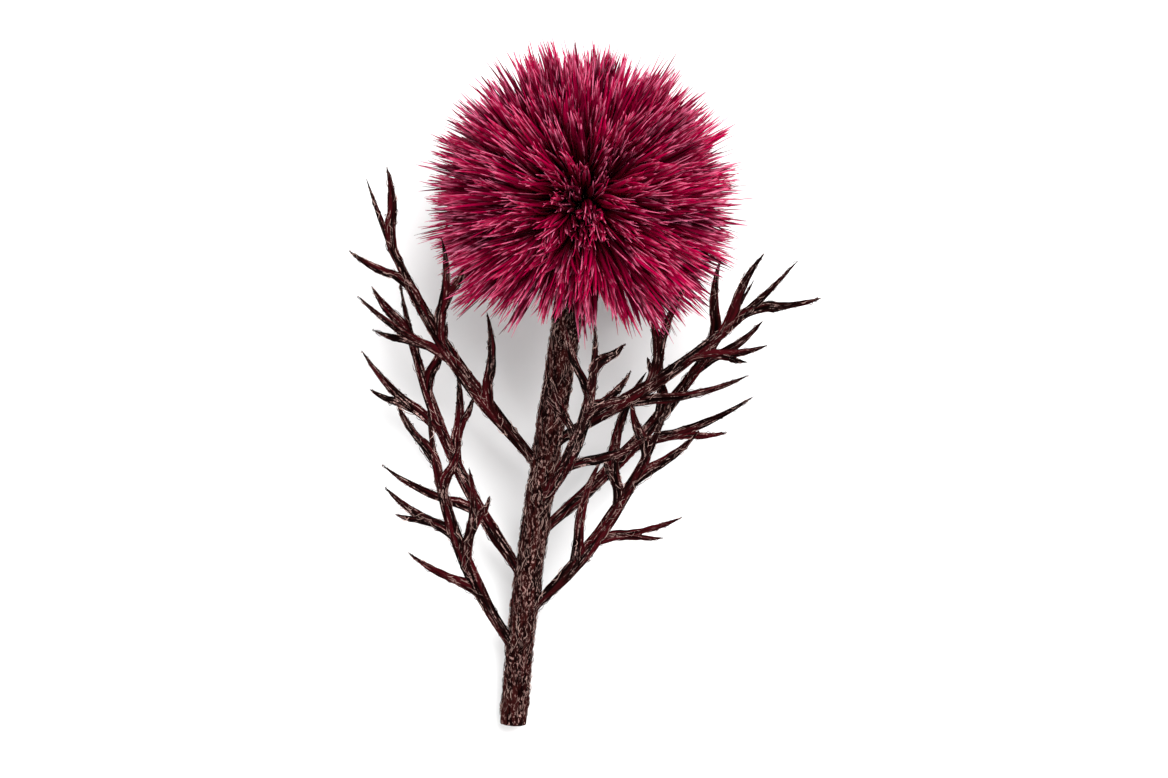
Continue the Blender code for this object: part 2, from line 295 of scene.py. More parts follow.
def wool_fibres(draw, grids, middles, share, count):
    """(rings of fibres, their shade). grids is (tubes, rings, corners, 3), and middles their middle lines.
    share is each tube's part of the fibres. A fibre starts at a random place of a tube's grid and
    runs over it, FIBRE_LEAN from its length on average, with a bend of FIBRE_BEND x sin(pi s). It stands
    off the grid by FIBRE_LIFT x (0.4 + sin(pi s)), so that its ends are nearer to the surface than its
    middle. Three corners go round it."""
    columns = grids.shape[2]
    row_step = np.linalg.norm(np.diff(middles, axis=1), axis=2).mean(axis=1)
    column_step = np.linalg.norm(np.diff(grids, axis=2), axis=3).mean(axis=2)
    s = np.linspace(0, 1, 5)
    tube = draw.choice(len(grids), count, p=share)[:, None]
    reach = draw.uniform(*FIBRE_LENGTH, (count, 1))
    lean = draw.normal(0, FIBRE_LEAN, (count, 1))
    last = grids.shape[1] - 1
    row = draw.uniform(0.01, 0.97, (count, 1)) * last + s * reach * np.cos(lean) / row_step[tube]
    row = row.clip(0, last - 0.001)
    low = row.astype(int)
    bend = draw.normal(0, FIBRE_BEND, (count, 1)) * np.sin(np.pi * s)
    strayed = (s * np.sin(lean) + bend) * reach / column_step[tube, low]
    column = draw.uniform(0, columns, (count, 1)) + strayed
    left = np.floor(column).astype(int)
    near, far = (grids[tube, low + i, left % columns] for i in (0, 1))
    near_right, far_right = (grids[tube, low + i, (left + 1) % columns] for i in (0, 1))
    aside = (column - left)[..., None]
    between = (row - low)[..., None]
    skin = (near * (1 - aside) + near_right * aside) * (1 - between)
    skin = skin + (far * (1 - aside) + far_right * aside) * between
    away = np.cross(near_right - near + far_right - far, far - near + far_right - near_right)
    away = unit(away) * np.sign(np.sum(away * (skin - middles[tube, low]), axis=2, keepdims=True))
    lift = FIBRE_LIFT * (0.4 + np.sin(np.pi * s)) * draw.uniform(0.4, 1.6, (count, 1))
    path = skin + away * lift[..., None]
    along = unit(np.gradient(path, axis=1))
    wide = unit(np.cross(along, away))
    face = np.cross(wide, along)
    third = np.arange(3)[:, None] * 2 * np.pi / 3
    width = FIBRE_HALF_WIDTH * draw.uniform(0.6, 1.4, (count, 1)) * FIBRE_TAPER
    corners = (face[:, :, None] * np.cos(third) + wide[:, :, None] * np.sin(third)) * width[..., None, None]
    rings = path[:, :, None] + corners
    rings[..., 2] = np.maximum(rings[..., 2], FIBRE_LOWEST)
    return rings, draw.uniform(0, 1, (count, 1, 1)) * np.ones(rings.shape[:3])


def wool_mesh(name, *fibres):
    """The mesh of some fibres, with the shade that its material reads."""
    rings, shade = wool_fibres(*fibres)
    mesh = closed_tubes(name, rings)
    note(mesh, "shade", shade)
    return mesh


def stem_rings(draw):
    """(rings, 1 on the cut face, share of the radius there, middle line). The stem is a circle carried
    along its middle line. Its radius is multiplied by 1 + RIB_DEPTH x (|cos(half the ribs x angle)|^1.5 -
    0.6) + STEM_LUMPS x slow swellings, both fading out at the neck. The cut end is the same circle shrunk
    towards its middle, and the top is a globe round the head's centre."""
    meeting = np.sqrt(RECEPTACLE_RADIUS**2 - NECK_RADIUS**2)  # the globe begins this far below its centre
    t = np.linspace(0.0, STALK_SHARE, STEM_ROWS)
    middle = stem_point(t)
    middle[-1] = HEAD_CENTRE - HEAD_AXIS * meeting
    radius = STEM_RADIUS + (NECK_RADIUS - STEM_RADIUS) * t**3
    angle = np.linspace(0, 2 * np.pi, STEM_COLUMNS, endpoint=False)
    turn = angle + RIB_WINDING * t[:, None]
    lumps = ripple(draw, 9, (t[:, None], 14), (angle / (2 * np.pi), 4))
    ribs = np.abs(np.cos(turn * STEM_RIBS / 2)) ** 1.5 - 0.6
    fade = 1.0 - t[:, None] ** 12
    spread = radius[:, None] * (1 + (RIB_DEPTH * ribs + STEM_LUMPS * lumps) * fade)

    cuts = len(CUT_RINGS)
    cut_spread = spread[0] * CUT_RINGS[:, None]
    cut_middle = middle[0] + unit(CUT_HEADING) * (PITH_DEPTH * CUT_SINK)[:, None]

    opening = np.arccos(meeting / RECEPTACLE_RADIUS)
    polar = np.linspace(opening, np.pi, GLOBE_ROWS + 1)[1:]
    globe_middle = HEAD_CENTRE - HEAD_AXIS * RECEPTACLE_RADIUS * np.cos(polar)[:, None]
    globe_spread = np.maximum(RECEPTACLE_RADIUS * np.sin(polar), 0.0001)[:, None] * np.ones(STEM_COLUMNS)

    middle = np.concatenate([cut_middle, middle, globe_middle])
    spread = np.concatenate([cut_spread, spread, globe_spread])
    stalk = unit(np.gradient(middle[cuts:-GLOBE_ROWS], axis=0))
    heading = np.concatenate([stalk[:1].repeat(cuts, 0), stalk, HEAD_AXIS[None].repeat(GLOBE_ROWS, 0)])
    up, side = across(heading)
    out = up[:, None] * np.cos(angle)[:, None] + side[:, None] * np.sin(angle)[:, None]
    rings = middle[:, None] + out * spread[..., None]
    rings[..., 2] = np.maximum(rings[..., 2], TABLE_GAP)
    cut_face = np.zeros(len(middle))
    cut_face[:cuts] = 1.0
    cut_radius = np.ones(len(middle))
    cut_radius[:cuts] = CUT_RINGS
    columns = np.ones(STEM_COLUMNS)
    return rings, cut_face[:, None] * columns, cut_radius[:, None] * columns, middle


stem_draw = np.random.default_rng(3)
rings, cut_face, cut_radius, middle_line = stem_rings(stem_draw)
stem_mesh = closed_tubes("stem_surface", rings[None])
note(stem_mesh, "cut_face", cut_face)
note(stem_mesh, "cut_radius", cut_radius)
stem_paint = paint_stem()
add_piece("stem_surface", stem_mesh, stem_paint, "stem", "stem")

wool_paint = paint_wool()
stalk, stalk_line = rings[None, WOOLLY_ROWS], middle_line[None, WOOLLY_ROWS]
stem_wool = wool_mesh("stem_wool", stem_draw, stalk, stalk_line, (1.0,), STEM_FIBRES)
add_piece("stem_wool", stem_wool, wool_paint, "stem")


# ---- The florets ---------------------------------------------------------------------------------------
# Over four hundred florets stand all over the receptacle, on a spiral. Each is wrapped in thirteen stiff
# dry bracts, keeled and pointed, in three whorls that grow longer inwards, and their points are the needles
# of the ball. They were dyed crimson. The pale pink lines along their edges and at their points are
# painted highlight, where the light catches them, and the near-black at their feet, deep in the head, is
# painted shade.

HEAD_RADIUS = 0.030
GOLDEN_ANGLE = np.pi * (3 - np.sqrt(5))
TUFTS = 42
TUFT_REACH = np.radians(119)
FLORETS = 440
FLORET_REACH = np.radians(138)
FLORET_JITTER = 0.017
FLORET_FOOT = 0.0074
LENGTH_SPREAD = 0.022  # how much the florets differ in length, as a share of it
LENGTH_LIMITS = (-0.08, 0.02)  # the least and the most that they may differ
CLUMPS = 150
CLUMP_JITTER = 0.05
CLUMP_PULL = 0.07  # how far a floret's end leans towards the middle of its clump
WHORL_OF = np.repeat((0, 1, 2), (4, 4, 5))
WHORL_LENGTH = np.array((0.72, 0.87, 1.0))  # as a share of the floret
WHORL_BELLY = np.array((0.00100, 0.00080, 0.00050))  # how far out a whorl bulges half way up
WHORL_SPLAY = np.array((0.00045, 0.00036, 0.00026))  # how far apart its points stand
WHORL_WIDTH = np.array((0.00036, 0.00050, 0.00048))  # half a bract's width
BRACT_STAND_OFF = 0.0002  # how far a bract's foot stands from the floret's middle
# How much the bracts of a whorl differ: in length, belly, splay and width, as shares of those, and in their
# place round the floret and their roll, in radians.
BRACT_LENGTH_SPREAD = 0.05
BRACT_BELLY_SPREAD = 0.15
BRACT_SPLAY_SPREAD = 0.45
BRACT_WIDTH_SPREAD = 0.12
BRACT_TURN_SPREAD = 0.2
BRACT_ROLL_SPREAD = 0.30
BRACT_STEPS = np.array((0.0, 0.16, 0.34, 0.52, 0.68, 0.81, 0.91, 1.0))
BRACT_OUTLINE = np.array((0.42, 0.58, 0.80, 1.0, 0.98, 0.72, 0.42, 0.08))
BRACT_SECTION = np.array(((-1.0, -0.25), (0.0, 0.60), (1.0, -0.25), (0.0, 0.10)))  # across, and outwards
POINT_BEND = 0.0009  # how far a bract's point strays sideways
FLORET_BEND = 0.0010  # how far the whole floret does
# painted shade at the bracts' feet, deep in the head
FLORET_FOOT_SHADE = (0.012, 0.0003, 0.001, 1.0)
FLORET_DARK = (0.250, 0.0003, 0.023, 1.0)
FLORET_CRIMSON = (0.250, 0.0003, 0.027, 1.0)
FLORET_ROSE = (0.280, 0.0003, 0.034, 1.0)
# the painted highlight along the bracts' edges and points, and along the bristles
FLORET_HIGHLIGHT_PINK = (1.0, 0.225, 0.405, 1.0)
FLORET_SHADE = (0.26, 0.24, 0.30, 1.0)  # what the darkest florets' colour is multiplied by
FLORET_PLAIN = (1.0, 1.0, 1.0, 1.0)
FLORET_GLOW = (1.70, 1.8, 1.75, 1.0)  # and the brightest florets'
FLORET_SHEEN = (1.0, 0.25, 0.40, 1.0)
LINES_APART = 60.0  # how far the pattern moves on from one bract's tint to another's
LINES_ALONG = 4.0  # how often it changes along a bract
AWNS = 3  # the bristles of a floret
AWN_STEPS = np.array((0.50, 0.65, 0.79, 0.91, 1.02))
AWN_BELLY = 0.0011
AWN_SPLAY = 0.0012
AWN_LENGTH_SPREAD = 0.03
AWN_STRAY = 0.0024
AWN_HALF_WIDTH = 0.000130
AWN_TAPER = np.array((0.9, 1.1, 1.0, 0.75, 0.25))
TABLE_SOFTNESS = 0.0007  # how high above the table the needles begin to bend away from it


def spiral(count, reach):
    """count unit vectors spread evenly round the head's axis: each is a golden angle on from the last, and
    their heights along the axis fall evenly from 1 to the cosine of reach."""
    order = np.arange(count)
    height = 1 - (1 - np.cos(reach)) * (order + 0.5) / count
    ring = np.sqrt(1 - height**2)
    up, side = across(HEAD_AXIS)
    turn = GOLDEN_ANGLE * order[:, None]
    return HEAD_AXIS * height[:, None] + (up * np.cos(turn) + side * np.sin(turn)) * ring[:, None]


def nearest(directions, others):
    """For each direction, which of the others makes the smallest angle with it."""
    return np.argmax(directions @ others.T, axis=1)


def rest_on_table(points):
    """Bends what would go below the table: z becomes (z + sqrt(z^2 + TABLE_SOFTNESS^2)) / 2, and the point
    moves away from under the head's centre by 0.8 of how far below it was."""
    z = points[..., 2]
    raised = (z + np.sqrt(z * z + TABLE_SOFTNESS**2)) / 2
    away = unit(points[..., :2] - HEAD_CENTRE[:2] + 1e-9)
    lifted = points.copy()
    lifted[..., :2] += away * (np.maximum(-z, 0) * 0.8)[..., None]
    lifted[..., 2] = raised
    return lifted


def floret_bracts(draw, directions, bends):
    """(points, radius share, share along the bract, margin, tint) of every bract, as (florets, bracts,
    rings, corners). A bract's middle line lies at radius r(s) = foot + s x length along its floret's
    direction, which turns towards the clump with s squared, and strays by bend x s^2. It stands off that
    line by belly x sin(pi s^1.25) + splay x s^3, towards its own side of the floret. BRACT_SECTION is
    carried along it, scaled by its outline."""
    clumps = unit(spiral(CLUMPS, FLORET_REACH) + draw.normal(0, CLUMP_JITTER, (CLUMPS, 3)))
    lean = clumps[nearest(directions, clumps)] - directions
    bracts = len(WHORL_OF)
    size = (FLORETS, bracts, 1)
    s = BRACT_STEPS
    spread = 1 + draw.normal(0, LENGTH_SPREAD, (FLORETS, 1, 1)).clip(*LENGTH_LIMITS)
    longest = (HEAD_RADIUS - FLORET_FOOT) * spread
    share = WHORL_LENGTH[WHORL_OF][:, None] * (1 + draw.normal(0, BRACT_LENGTH_SPREAD, size))
    length = longest * share.clip(0, 1.0)
    radius = FLORET_FOOT + s * length
    heading = unit(directions[:, None, None] + lean[:, None, None] * (CLUMP_PULL * s * s)[:, None])
    up, side = across(directions)
    turn = GOLDEN_ANGLE * np.arange(bracts)[:, None] + draw.uniform(0, 2 * np.pi, (FLORETS, 1, 1))
    turn = turn + draw.normal(0, BRACT_TURN_SPREAD, size)
    outward = up[:, None, None] * np.cos(turn)[..., None] + side[:, None, None] * np.sin(turn)[..., None]
    belly = WHORL_BELLY[WHORL_OF][:, None] * (1 + draw.normal(0, BRACT_BELLY_SPREAD, size))
    splay = WHORL_SPLAY[WHORL_OF][:, None] * (1 + draw.normal(0, BRACT_SPLAY_SPREAD, size))
    stand_off = BRACT_STAND_OFF + belly * np.sin(np.pi * s**1.25) + splay * s**3
    stray = draw.normal(0, POINT_BEND, (FLORETS, bracts, 1, 3)) * (s**3)[:, None]
    stray = stray + bends[:, None, None] * (s**2)[:, None]
    middle = HEAD_CENTRE + heading * radius[..., None] + outward * stand_off[..., None] + stray
    along = unit(np.gradient(middle, axis=2))
    roll = draw.normal(0, BRACT_ROLL_SPREAD, size)[..., None]
    face = outward * np.cos(roll) + np.cross(along, outward) * np.sin(roll)
    wide = unit(np.cross(along, face))
    face = np.cross(wide, along)
    uneven = 1 + draw.normal(0, BRACT_WIDTH_SPREAD, size)
    half_width = WHORL_WIDTH[WHORL_OF][:, None] * BRACT_OUTLINE * uneven
    corners = (
        wide[..., None, :] * BRACT_SECTION[:, 0, None] + face[..., None, :] * BRACT_SECTION[:, 1, None]
    ) * half_width[..., None, None]
    points = rest_on_table(middle[..., None, :] + corners)
    shape = points.shape[:-1]
    radius_share = np.broadcast_to(((radius - FLORET_FOOT) / (HEAD_RADIUS - FLORET_FOOT))[..., None], shape)
    tip_share = np.broadcast_to(s[:, None], shape)
    margin = np.broadcast_to(np.abs(BRACT_SECTION[:, 0]), shape)
    tint = draw.uniform(0, 1, (FLORETS, 1, 1, 1)) * 0.7 + draw.uniform(0, 1, (FLORETS, bracts, 1, 1)) * 0.3
    return points, radius_share, tip_share, margin, np.broadcast_to(tint, shape)


def paint_florets():
    """Dyed crimson bract. Painted shade makes it almost black at its foot, deep in the head, and painted
    highlight makes it pale pink at its point and along its edges. The pale lines come and go along a bract,
    in other places on each. It has the dull gloss of straw, with fine streaks."""
    paint = Paint("crimson_bract")
    reach = paint.read("reach")
    tint = paint.read("tint")
    streaks = paint.noise(paint.place(), 1500.0, 3.0, 0.6)
    bract = paint.sum("MULTIPLY", tint, LINES_APART)
    lengthwise = paint.sum("MULTIPLY", reach, LINES_ALONG)
    place = paint.add("ShaderNodeCombineXYZ", X=bract, Y=lengthwise).outputs["Vector"]
    lines = paint.range(paint.noise(place, 1.0, 2.0), 0.49, 0.56)
    # painted shade: almost black where the bracts' feet lie deep in the head, crimson further out
    body = paint.ramp(
        reach, (0.10, FLORET_FOOT_SHADE), (0.32, FLORET_DARK), (0.62, FLORET_CRIMSON), (0.95, FLORET_ROSE)
    )
    uneven = paint.ramp(tint, (0.18, FLORET_SHADE), (0.5, FLORET_PLAIN), (0.9, FLORET_GLOW))
    # painted highlight: pale pink on the bracts' edges and points, where the light catches them, broken
    # into lines
    edge = paint.range(paint.read("margin"), 0.82, 0.96, 0.0, 0.85)
    point = paint.range(paint.read("tip"), 0.82, 1.0, 0.0, 0.80)
    painted_highlight_place = paint.sum("MAXIMUM", edge, point)
    painted_highlight_place = paint.sum("MULTIPLY", painted_highlight_place, paint.range(reach, 0.30, 0.90, 0.90, 0.74))
    pale = paint.sum("MULTIPLY", painted_highlight_place, lines)
    dyed = paint.mix(1.0, body, uneven, "MULTIPLY")
    paint.plug(paint.shader, "Base Color", paint.mix(pale, dyed, FLORET_HIGHLIGHT_PINK))
    paint.plug(paint.shader, "Roughness", paint.range(streaks, 0.3, 0.7, 0.34, 0.52))
    paint.plug(paint.shader, "Specular IOR Level", 0.12)
    paint.plug(paint.shader, "Specular Tint", FLORET_SHEEN)
    paint.relief(streaks, 0.00008, 0.5)
    return paint.material


def floret_awns(draw, directions, bends):
    """(points, radius share) of every bristle, as (bristles, rings, corners). It stands AWN_STEPS of the
    way out along its floret, off its middle by AWN_BELLY x sin(pi s^0.8) + AWN_SPLAY x s^3, and strays
    sideways by the square of how far out it is. Three corners go round it, and it thins towards its
    point."""
    s = AWN_STEPS
    out = np.repeat(directions, AWNS, axis=0)
    count = len(out)
    spread = 1 + draw.normal(0, AWN_LENGTH_SPREAD, (count, 1)).clip(*LENGTH_LIMITS)
    radius = FLORET_FOOT + s * ((HEAD_RADIUS - FLORET_FOOT) * spread)
    up, side = across(out)
    turn = draw.uniform(0, 2 * np.pi, (count, 1))
    outward = up * np.cos(turn) + side * np.sin(turn)
    stand_off = AWN_BELLY * np.sin(np.pi * np.minimum(s, 1) ** 0.8) + AWN_SPLAY * s**3
    stand_off = stand_off * draw.uniform(0.7, 1.3, (count, 1))
    stray = draw.normal(0, AWN_STRAY, (count, 1, 3)) * ((s - s[0]) ** 2)[:, None]
    stray = stray + np.repeat(bends, AWNS, axis=0)[:, None] * (s**2)[:, None]
    middle = HEAD_CENTRE + out[:, None] * radius[..., None]
    middle = middle + outward[:, None] * stand_off[..., None] + stray
    along = unit(np.gradient(middle, axis=1))
    wide = unit(np.cross(along, outward[:, None]))
    face = np.cross(wide, along)
    third = np.arange(3)[:, None] * 2 * np.pi / 3
    width = AWN_HALF_WIDTH * AWN_TAPER[:, None, None]
    corners = (face[:, :, None] * np.cos(third) + wide[:, :, None] * np.sin(third)) * width
    points = rest_on_table(middle[:, :, None] + corners)
    radius_share = (radius - FLORET_FOOT) / (HEAD_RADIUS - FLORET_FOOT)
    return points, np.broadcast_to(radius_share[..., None], points.shape[:3])


floret_draw = np.random.default_rng(11)
directions = unit(spiral(FLORETS, FLORET_REACH) + floret_draw.normal(0, FLORET_JITTER, (FLORETS, 3)))
bends = floret_draw.normal(0, FLORET_BEND, (FLORETS, 3))
bract_points, reach, tip, margin, tint = floret_bracts(floret_draw, directions, bends)
tuft_of = nearest(directions, spiral(TUFTS, TUFT_REACH))
floret_paint = paint_florets()
for tuft in range(TUFTS):
    mine = tuft_of == tuft
    name = f"florets_{tuft + 1:02d}"
    mesh = closed_tubes(name, bract_points[mine].reshape(-1, len(BRACT_STEPS), len(BRACT_SECTION), 3))
    for label, values in (("reach", reach), ("tip", tip), ("margin", margin), ("tint", tint)):
        note(mesh, label, values[mine])
    add_piece(name, mesh, floret_paint, "florets", f"floret_tuft_{tuft + 1:02d}")

awn_points, awn_reach = floret_awns(floret_draw, directions, bends)
awn_mesh = closed_tubes("floret_awns", awn_points)
note(awn_mesh, "reach", awn_reach)
# A bristle is all edge, so the painted highlight lines run along the whole of it.
note(awn_mesh, "margin", np.ones(awn_reach.shape))
note(awn_mesh, "tip", np.zeros(awn_reach.shape))
note(awn_mesh, "tint", floret_draw.uniform(0, 1, (len(awn_points), 1, 1)) * np.ones(awn_reach.shape))
add_piece("floret_awns", awn_mesh, floret_paint, "florets")


# ---- The leaves ----------------------------------------------------------------------------------------
# Seven leaves, each a narrow leathery strap that is forked like an antler and ends in spines. Their edges
# rolled under and their faces wrinkled lengthwise as they dried. The wool is thickest underneath.

# How far below the head's centre each is attached, on which side of the stem (0 is up from the table and 90
# is +X), its length, how far it opens from the stem, and how far its blade is twisted.
LEAVES = (
    (0.045, 80, 0.059, 53, 16),
    (0.050, -74, 0.064, 51, -24),
    (0.057, 26, 0.052, 42, 50),
    (0.063, 95, 0.062, 41, 8),
    (0.072, -93, 0.060, 42, -8),
    (0.079, 62, 0.054, 38, 32),
    (0.087, -56, 0.054, 40, -36),
)
FACES_UP = (1, -1, -1, 1, 1, 1, -1)  # -1 where a leaf has turned its woolly underside up
GAP = 0.0003  # between the stem's surface and where a leaf's own curve begins
# The leaf's first two points: how deep in the stem each is, and how far below where the leaf leaves it.
LEAF_ROOT = np.array(((0.0014, 0.0062), (0.0004, 0.0020)))
RIB_STEPS = 8
RIB_HALF_WIDTH = 0.00160
LEAF_TURN = np.radians(24)
LEAF_ARCH = 0.07
LOBES_AT = (0.22, 0.37, 0.51, 0.66, 0.80)
LOBE_STEPS = 6
LOBE_ROOT = (0.085, 0.035)  # how far before a lobe turns away it starts in the rib, as a share of the rib
LOBE_REACH = 0.38
LOBE_SPLAY = np.radians(46)
LOBE_CURL = np.radians(30)
LOBE_STRAY = 0.025  # how far a lobe's place varies, as a share of the rib
LOBE_UNEVENNESS = 0.2  # how far its splay and reach do, as shares of them
LOBE_HALF_WIDTH = 0.00115
FORKED_LOBES = (1, 2)
FORK_STEPS = 4
FORK_SHARE = 0.40  # a fork's length, as a share of its lobe's
FORK_WIDTH_SHARE = 0.75
BASE_SHARE = 0.70  # a blade's width where it starts, as a share of its widest
FOOT_SHARE = 0.22  # the same for the rib, which starts inside the stem
TIP_SHARE = 0.12
BLADE_ROWS = 64
BLADE_COLUMNS = 28
BLADE_FLATNESS = 0.36  # its thickness, as a share of its width
BLADE_SWELL = 0.35  # where it has swollen to its full width, as a share of its length
BLADE_UNEVENNESS = 0.05
SPINE_SHARE = 0.10  # how much of it is the spine
RIDGE_HEIGHT = 0.10
RIDGE_TURNS = 8.5  # how far the ridges' wave goes on from its middle to its edge, in radians
EDGE_DROP = 0.55  # how far its edges bend down
LEAF_FIBRES = 420  # on each leaf
# near-black: the spines' own colour, and painted shade in the grooves between the strands
LEAF_SPINE_BLACK_AND_GROOVE_SHADE = (0.002, 0.0002, 0.0002, 1.0)
LEAF_BROWN = (0.012, 0.0017, 0.0017, 1.0)
LEAF_RED = (0.042, 0.0022, 0.0042, 1.0)
LEAF_WOOL = (0.52, 0.320, 0.290, 1.0)


def stem_at(below_head):
    """The point this far down the stem from the head's centre, measured along it, with the way that the
    stem runs there and its radius."""
    t = np.linspace(1.0, 0.0, 4001)
    line = stem_point(t)
    walked = np.concatenate([[0.0], np.cumsum(np.linalg.norm(np.diff(line, axis=0), axis=1))])
    k = int(np.searchsorted(walked, below_head))
    return line[k], unit(line[k - 1] - line[k]), STEM_RADIUS + (NECK_RADIUS - STEM_RADIUS) * t[k] ** 3


def arc(start, heading, length, turn, arch, steps):
    """Points along an arc in a leaf's plane: equal strides, whose heading grows evenly by turn in all. Its
    height above the plane is arch x length x t^2."""
    t = np.arange(1, steps + 1) / steps
    angle = heading + turn * (t - 0.5 / steps)
    flat = np.cumsum(np.stack([np.cos(angle), np.sin(angle)], axis=1), axis=0) * length / steps
    return np.concatenate([start[None], start + np.column_stack([flat, arch * length * t * t])])


def wobble(number, k):
    """A fixed variation between -1 and 1, for lobe k of a leaf: sin(2.4 number + 4.1 k + 0.7)."""
    return np.sin(2.4 * number + 4.1 * k + 0.7)


def smooth(points, count):
    """count points along a curve through the given ones. Between two of them it is the cubic that leaves
    each in the direction from the one before it to the one after it."""
    u = np.linspace(0, len(points) - 1, count)
    k = np.minimum(u.astype(int), len(points) - 2)
    f = (u - k)[:, None]
    before, here = points[np.maximum(k - 1, 0)], points[k]
    there, beyond = points[k + 1], points[np.minimum(k + 2, len(points) - 1)]
    return 0.5 * (
        2 * here + (there - before) * f
        + (2 * before - 5 * here + 4 * there - beyond) * f**2
        + (3 * here - before - 3 * there + beyond) * f**3
    )


def leaf_branches(number, length):
    """(points, half width) of the leaf's rib, lobes and forks, in the leaf's own plane. A lobe and a fork
    begin inside what bears them, run along it for a little, and turn away, a fork by half as much again. A
    lobe's length is LOBE_REACH of the leaf's x (1.15 - 0.75 x its share of the way along), and varies."""
    rib = arc(np.zeros(3), 0.0, length, LEAF_TURN, LEAF_ARCH, RIB_STEPS)
    fine_steps = 400
    fine_rib = smooth(rib, fine_steps + 1)
    branches = [(rib, RIB_HALF_WIDTH)]
    for k, level in enumerate(LOBES_AT):
        side = 1 if (k + number) % 2 else -1
        share = level + LOBE_STRAY * wobble(number, k)
        low = int(share * RIB_STEPS)
        start = rib[low] + (rib[low + 1] - rib[low]) * (share * RIB_STEPS - low)
        splay = LOBE_SPLAY * (1.0 + LOBE_UNEVENNESS * wobble(number, k + 1))
        heading = LEAF_TURN * share + side * splay
        reach = length * LOBE_REACH * (1.15 - 0.75 * share)
        reach = reach * (1.0 + LOBE_UNEVENNESS * wobble(number, k + 2))
        lift = LEAF_ARCH * side * wobble(number, k + 3)
        lobe = arc(start, heading, reach, -side * LOBE_CURL, lift, LOBE_STEPS)
        inside = fine_rib[[int(fine_steps * (share - before)) for before in LOBE_ROOT]]
        branches.append((np.concatenate([inside, lobe[1:]]), LOBE_HALF_WIDTH))
        if k in FORKED_LOBES:
            heading += side * LOBE_SPLAY * 0.5
            fork = arc(lobe[2], heading, reach * FORK_SHARE, -side * LOBE_CURL, 0.0, FORK_STEPS)
            branches.append((np.concatenate([lobe[1:2], fork[1:]]), LOBE_HALF_WIDTH * FORK_WIDTH_SHARE))
    return branches


def blade_rings(points, half_width, base_share, normal, draw, twist):
    """(rings, 1 on the underside, share of the length, measure across, measure along) of a strap carried
    along the points. Across it, x = w cos q. Its upper face is h sin(q)^0.6 with a groove down the middle
    and fine ridges, its lower face has a rib down the middle, and both edges bend down by the cube of x.
    w swells from base_share to 1 and is drawn out to a spine, and h follows it."""
    path = smooth(points, BLADE_ROWS)
    t = np.linspace(0, 1, BLADE_ROWS)[:, None]
    swell = base_share + (1 - base_share) * np.sin(np.minimum(1, t / BLADE_SWELL) * np.pi / 2)
    outline = swell * (1 - (1 - TIP_SHARE) * t**2.2)
    outline = outline * (1 + BLADE_UNEVENNESS * ripple(draw, 5, (t, 7)))
    sharpened = outline * np.clip((1 - t) / SPINE_SHARE, 0.10, 1) ** 0.5
    q = np.linspace(0, 2 * np.pi, BLADE_COLUMNS, endpoint=False)
    x = np.cos(q)
    sine = np.sin(q)
    ridges = RIDGE_HEIGHT * np.sin(RIDGE_TURNS * x + 2.2 * ripple(draw, 3, (t, 3)) + draw.uniform(0, 6))
    upper = np.maximum(sine, 0) ** 0.6 * (0.85 - 0.55 * np.exp(-((x / 0.20) ** 2)) + ridges)
    lower = np.maximum(-sine, 0) ** 0.6 * (0.45 + 0.75 * np.exp(-((x / 0.24) ** 2)) - 0.6 * ridges)
    drop = EDGE_DROP * np.abs(x) ** 3
    y = (upper - lower - drop) * BLADE_FLATNESS
    thickness = np.maximum(sharpened, 0.35 * outline**0.5 * np.minimum(1, (1 - t) / 0.06 + 0.25))
    along = unit(np.gradient(path, axis=0))
    wide = unit(np.cross(normal, along))
    roll = twist * (t - 0.3) + 0.25 * ripple(draw, 3, (t, 2)) * np.minimum(1, t * 4)
    raised = np.cross(along, wide)
    wide_turned = wide * np.cos(roll) + raised * np.sin(roll)
    raised_turned = raised * np.cos(roll) - wide * np.sin(roll)
    rings = (
        path[:, None]
        + wide_turned[:, None] * (x * sharpened)[..., None] * half_width
        + raised_turned[:, None] * (y * thickness)[..., None] * half_width
    )
    under = np.broadcast_to(np.clip(-sine * 3, 0, 1), rings.shape[:2])
    tip_share = np.broadcast_to(t, rings.shape[:2])
    length = np.linalg.norm(np.diff(path, axis=0), axis=1).sum()
    crosswise = np.broadcast_to(x * half_width, rings.shape[:2]) + draw.uniform(0, 0.5)
    lengthwise = np.broadcast_to(t * length, rings.shape[:2])
    return rings, under, tip_share, crosswise, lengthwise


